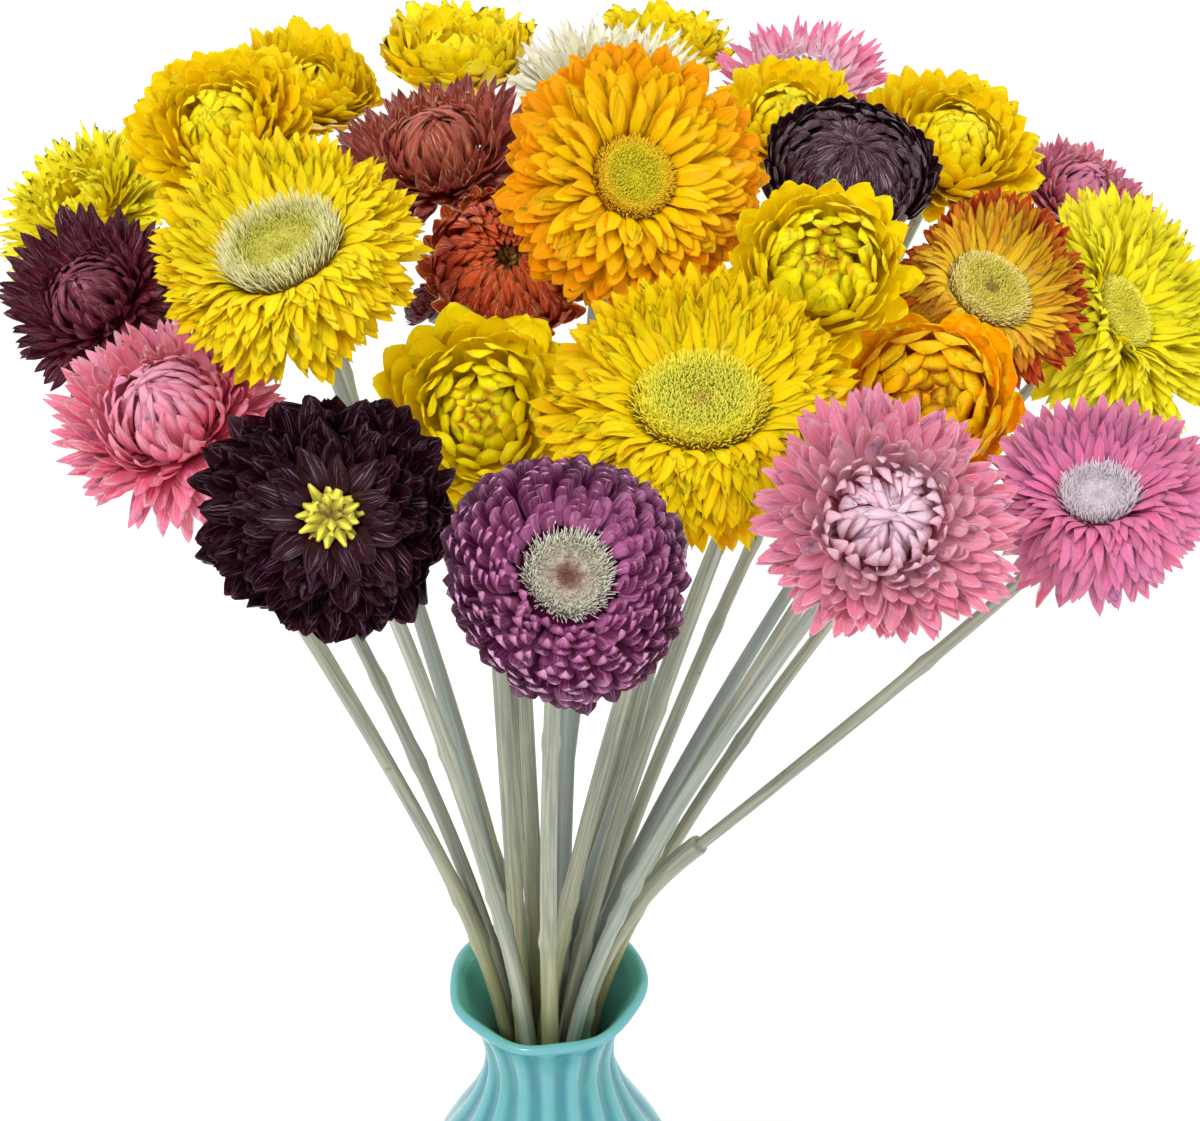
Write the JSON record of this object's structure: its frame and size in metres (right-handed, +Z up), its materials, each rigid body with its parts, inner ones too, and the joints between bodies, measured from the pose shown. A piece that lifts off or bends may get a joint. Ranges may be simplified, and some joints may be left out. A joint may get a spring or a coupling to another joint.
{
  "type": "vase of dried paper daisies",
  "caption": "Bouquet of dried strawflowers, or paper daisies, in yellow, orange, rust, burgundy and pink on thin stems, standing in a ribbed turquoise vase with a narrow neck.",
  "frame": {"origin": "centre of the vase's foot, on the surface it stands on", "axes": "+Z up along the vase's axis, -Y towards the side that most flower heads face, +X to the right as seen from that side"},
  "size_m": [0.2795, 0.2405, 0.3892],
  "materials": {
    "glaze": "gloss",
    "stem": "matte",
    "bract_lemon": "satin",
    "bract_yellow": "satin",
    "bract_gold": "satin",
    "bract_amber": "satin",
    "bract_flame": "satin",
    "bract_orange": "satin",
    "bract_rust": "satin",
    "bract_copper": "satin",
    "bract_burgundy": "satin",
    "bract_black": "satin",
    "bract_magenta": "satin",
    "bract_rose": "satin",
    "bract_salmon": "satin",
    "bract_pink": "satin",
    "bract_mauve": "satin",
    "bract_cream": "satin",
    "disc_yellow": "matte",
    "disc_pale": "matte"
  },
  "bodies": {
    "root": {"vase": "glaze", "stem_yellow_far_left": "stem", "stem_golden_left": "stem", "stem_yellow_disc_left": "stem", "stem_cream_back": "stem", "stem_pink_back": "stem", "stem_bronze_left": "stem", "stem_amber_disc_top": "stem", "stem_dark_dome": "stem", "stem_golden_back_right": "stem", "stem_rust_centre": "stem", "stem_yellow_bud_right": "stem", "stem_flame_disc_right": "stem", "stem_lemon_far_right": "stem", "stem_pink_left": "stem", "stem_black_front": "stem", "stem_yellow_front_left": "stem", "stem_yellow_disc_centre": "stem", "stem_orange_front_right": "stem", "stem_magenta_front": "stem", "stem_pink_front_right": "stem", "stem_rose_far_right": "stem", "yellow_far_left": "bract_lemon", "burgundy_left": "bract_burgundy", "golden_left": "bract_gold", "golden_back_left": "bract_gold", "yellow_disc_left": "bract_yellow", "yellow_disc_left_disc": "disc_pale", "yellow_back": "bract_yellow", "cream_back": "bract_cream", "yellow_tip_back": "bract_yellow", "pink_back": "bract_pink", "bronze_left": "bract_copper", "amber_disc_top": "bract_amber", "amber_disc_top_disc": "disc_yellow", "golden_behind": "bract_gold", "dark_dome": "bract_black", "golden_back_right": "bract_gold", "mauve_back_right": "bract_mauve", "rust_centre": "bract_rust", "rust_centre_disc": "disc_yellow", "yellow_bud_right": "bract_yellow", "flame_disc_right": "bract_flame", "flame_disc_right_disc": "disc_yellow", "lemon_far_right": "bract_lemon", "lemon_far_right_disc": "disc_yellow", "pink_left": "bract_salmon", "black_front": "bract_black", "black_front_disc": "disc_yellow", "yellow_front_left": "bract_yellow", "yellow_disc_centre": "bract_yellow", "yellow_disc_centre_disc": "disc_yellow", "orange_front_right": "bract_orange", "magenta_front": "bract_magenta", "magenta_front_disc": "disc_pale", "pink_front_right": "bract_pink", "rose_far_right": "bract_rose", "rose_far_right_disc": "disc_pale", "golden_inner": "bract_gold", "burgundy_bud": "bract_burgundy"}
  },
  "joints": []
}
